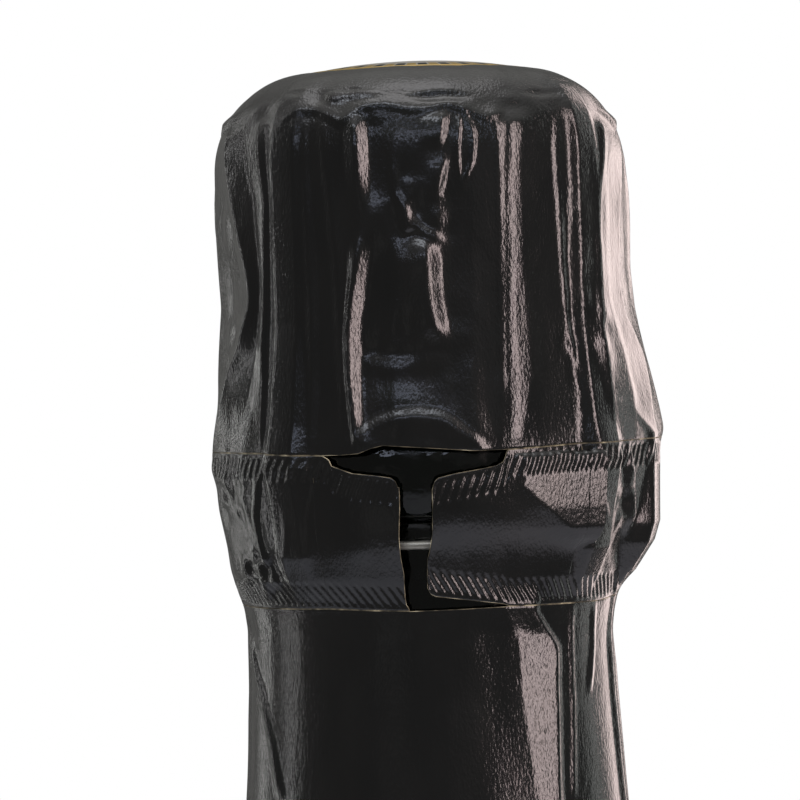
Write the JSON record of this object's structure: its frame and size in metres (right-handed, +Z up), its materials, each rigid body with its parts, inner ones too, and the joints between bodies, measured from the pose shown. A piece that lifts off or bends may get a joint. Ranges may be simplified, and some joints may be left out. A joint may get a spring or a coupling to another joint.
{
  "type": "champagne bottle",
  "caption": "Sealed champagne bottle: dark glass, mushroom cork, twisted wire cage and a pleated foil hood with a tear strip and pull tab.",
  "frame": {"origin": "centre of the bottle's footprint, on the surface it stands on", "axes": "+Z up the bottle's axis; -Y faces the viewer in the picture, where the tear tab's gap is; +X is the viewer's right"},
  "size_m": [0.0884, 0.0884, 0.3215],
  "materials": {
    "glass": "polished dark green glass",
    "wine": "clear pale gold liquid",
    "cork_grain": "pressed cork granules",
    "cork_disc": "natural cork",
    "tinplate": "lacquered tinplate",
    "wire": "galvanised wire",
    "foil": "gloss black lacquered foil",
    "badge": "printed satin foil"
  },
  "bodies": {
    "bottle": {"glass_bottle": "glass", "wine_fill": "wine", "foil_skirt": "foil", "tear_strip_7": "foil"},
    "cork": {"cork_body": "cork_grain", "cork_disc_upper": "cork_disc", "cork_disc_lower": "cork_disc"},
    "cage": {"muselet_cap": "tinplate", "cage_frame": "wire", "cage_belt": "wire"},
    "hood": {"foil_hood": "foil", "foil_badge": "badge"},
    "strip_6": {"tear_strip_6": "foil"},
    "strip_5": {"tear_strip_5": "foil"},
    "strip_4": {"tear_strip_4": "foil"},
    "strip_3": {"tear_strip_3": "foil"},
    "strip_2": {"tear_strip_2": "foil"},
    "strip_1": {"tear_strip_1": "foil"},
    "tab": {"tear_tab": "foil"}
  },
  "joints": [
    {"name": "cork_pull", "type": "slide", "parent": "bottle", "child": "cork", "axis": [0, 0, 1], "range_m": [0, 0.04], "deforming": ["cage_belt", "cage_frame"]},
    {"name": "cage_lift", "type": "slide", "parent": "cork", "child": "cage", "axis": [0, 0, 1], "range_m": [0, 0.045]},
    {"name": "hood_lift", "type": "slide", "parent": "cage", "child": "hood", "axis": [0, 0, 1], "range_m": [0, 0.045]},
    {"name": "strip_unroll", "type": "hinge", "parent": "bottle", "child": "strip_6", "pos_m": [-0.01523, -0.01071, 0.28337], "axis": [0, 0, 1], "range_deg": [0, 47.5]},
    {"name": "strip_bend_5", "type": "hinge", "parent": "strip_6", "child": "strip_5", "pos_m": [-0.01817, 0.00405, 0.28337], "axis": [0, 0, 1], "range_deg": [0, 47.5]},
    {"name": "strip_bend_4", "type": "hinge", "parent": "strip_5", "child": "strip_4", "pos_m": [-0.00924, 0.01617, 0.28337], "axis": [0, 0, 1], "range_deg": [0, 47.5]},
    {"name": "strip_bend_3", "type": "hinge", "parent": "strip_4", "child": "strip_3", "pos_m": [0.00574, 0.01771, 0.28337], "axis": [0, 0, 1], "range_deg": [0, 47.5]},
    {"name": "strip_bend_2", "type": "hinge", "parent": "strip_3", "child": "strip_2", "pos_m": [0.01696, 0.00768, 0.28337], "axis": [0, 0, 1], "range_deg": [0, 47.5]},
    {"name": "strip_bend_1", "type": "hinge", "parent": "strip_2", "child": "strip_1", "pos_m": [0.0171, -0.00737, 0.28337], "axis": [0, 0, 1], "range_deg": [0, 47.5]},
    {"name": "tab_lift", "type": "hinge", "parent": "strip_1", "child": "tab", "pos_m": [0.00606, -0.01761, 0.28337], "axis": [0, 0, 1], "range_deg": [0, 100]}
  ],
  "couplings": [
    {"joint": "strip_bend_5", "follows": "strip_unroll", "ratio": 1},
    {"joint": "strip_bend_4", "follows": "strip_unroll", "ratio": 1},
    {"joint": "strip_bend_3", "follows": "strip_unroll", "ratio": 1},
    {"joint": "strip_bend_2", "follows": "strip_unroll", "ratio": 1},
    {"joint": "strip_bend_1", "follows": "strip_unroll", "ratio": 1}
  ]
}
